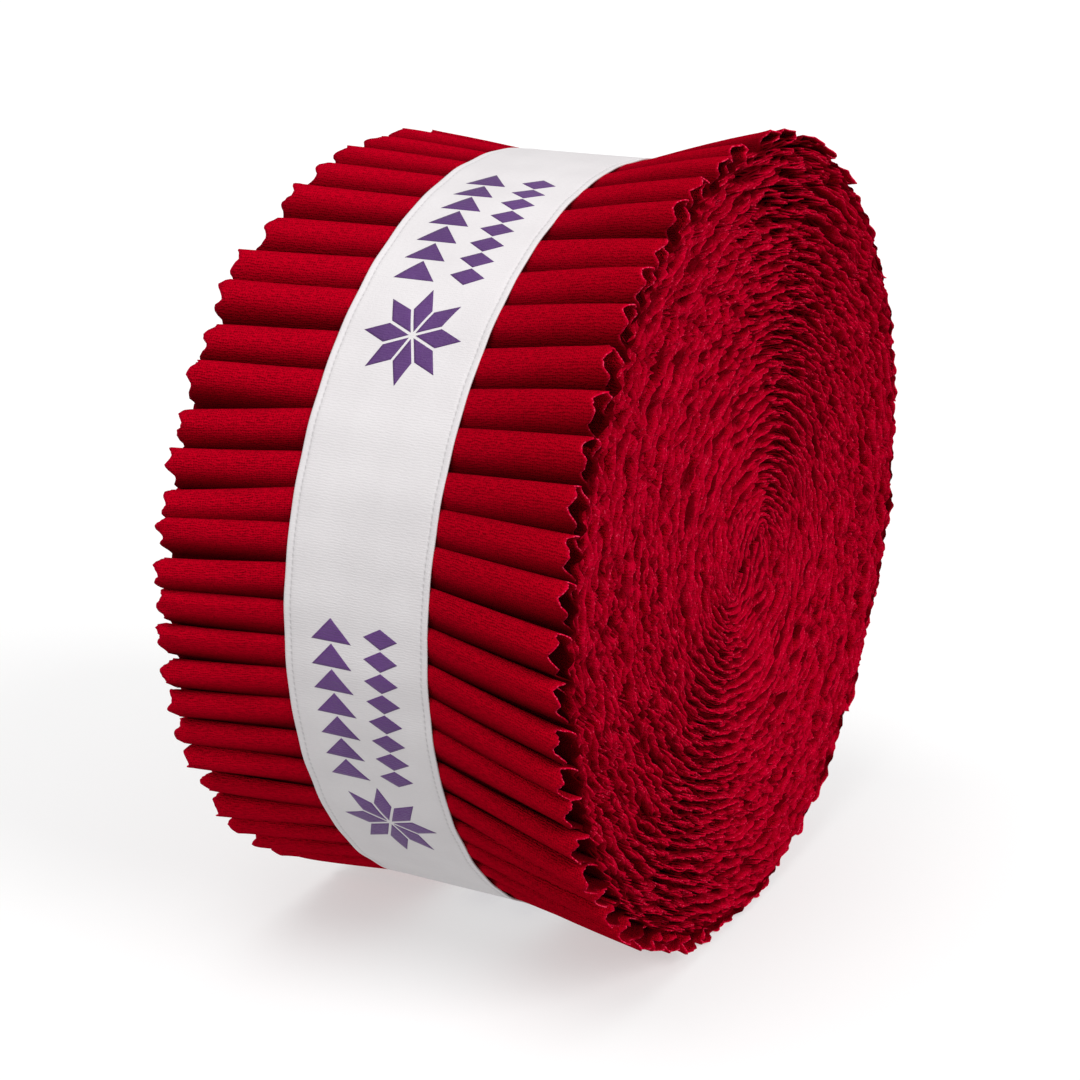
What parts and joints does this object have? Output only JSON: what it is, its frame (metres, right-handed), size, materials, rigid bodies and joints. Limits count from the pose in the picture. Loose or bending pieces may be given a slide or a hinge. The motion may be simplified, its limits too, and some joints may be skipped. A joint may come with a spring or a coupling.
{
  "type": "pre-cut fabric strip roll",
  "caption": "Roll of folded pre-cut quilting cotton strips with pinked edges and pleated rim, held by a satin ribbon band that slides off along the roll's axis.",
  "frame": {"origin": "middle of the roll's width and depth, on the surface that it stands on", "axes": "+X along the roll's axis, out of one side face; +Z up; the pleats' folds point from -Y up over the top to +Y"},
  "size_m": [0.0636, 0.1192, 0.1164],
  "materials": {
    "cotton": "matt plain-weave quilting cotton, solid red, pinked edges",
    "ribbon": "white woven satin ribbon with a purple printed motif",
    "glue": "clear hot-melt glue film"
  },
  "bodies": {
    "roll": {"strip_01": "cotton", "strip_02": "cotton", "strip_03": "cotton", "strip_04": "cotton", "strip_05": "cotton", "strip_06": "cotton", "strip_07": "cotton", "strip_08": "cotton", "strip_09": "cotton", "strip_10": "cotton", "strip_11": "cotton", "strip_12": "cotton", "strip_13": "cotton", "strip_14": "cotton", "strip_15": "cotton", "strip_16": "cotton", "strip_17": "cotton", "strip_18": "cotton", "strip_19": "cotton", "strip_20": "cotton", "strip_21": "cotton", "strip_22": "cotton", "strip_23": "cotton", "strip_24": "cotton", "strip_25": "cotton", "strip_26": "cotton", "strip_27": "cotton", "strip_28": "cotton", "strip_29": "cotton", "strip_30": "cotton", "strip_31": "cotton", "strip_32": "cotton", "strip_33": "cotton", "strip_34": "cotton", "strip_35": "cotton", "strip_36": "cotton", "strip_37": "cotton", "strip_38": "cotton", "strip_39": "cotton", "strip_40": "cotton", "strip_41": "cotton", "strip_42": "cotton", "strip_43": "cotton", "strip_44": "cotton", "strip_45": "cotton", "strip_46": "cotton", "strip_47": "cotton", "strip_48": "cotton", "strip_49": "cotton", "strip_50": "cotton", "strip_51": "cotton", "strip_52": "cotton", "strip_53": "cotton", "strip_54": "cotton", "strip_55": "cotton", "strip_56": "cotton"},
    "band": {"ribbon_band": "ribbon", "glue_tab": "glue"}
  },
  "joints": [
    {"name": "band_slide", "type": "slide", "parent": "roll", "child": "band", "axis": [1, 0, 0], "range_m": [-0.055, 0.055]}
  ]
}
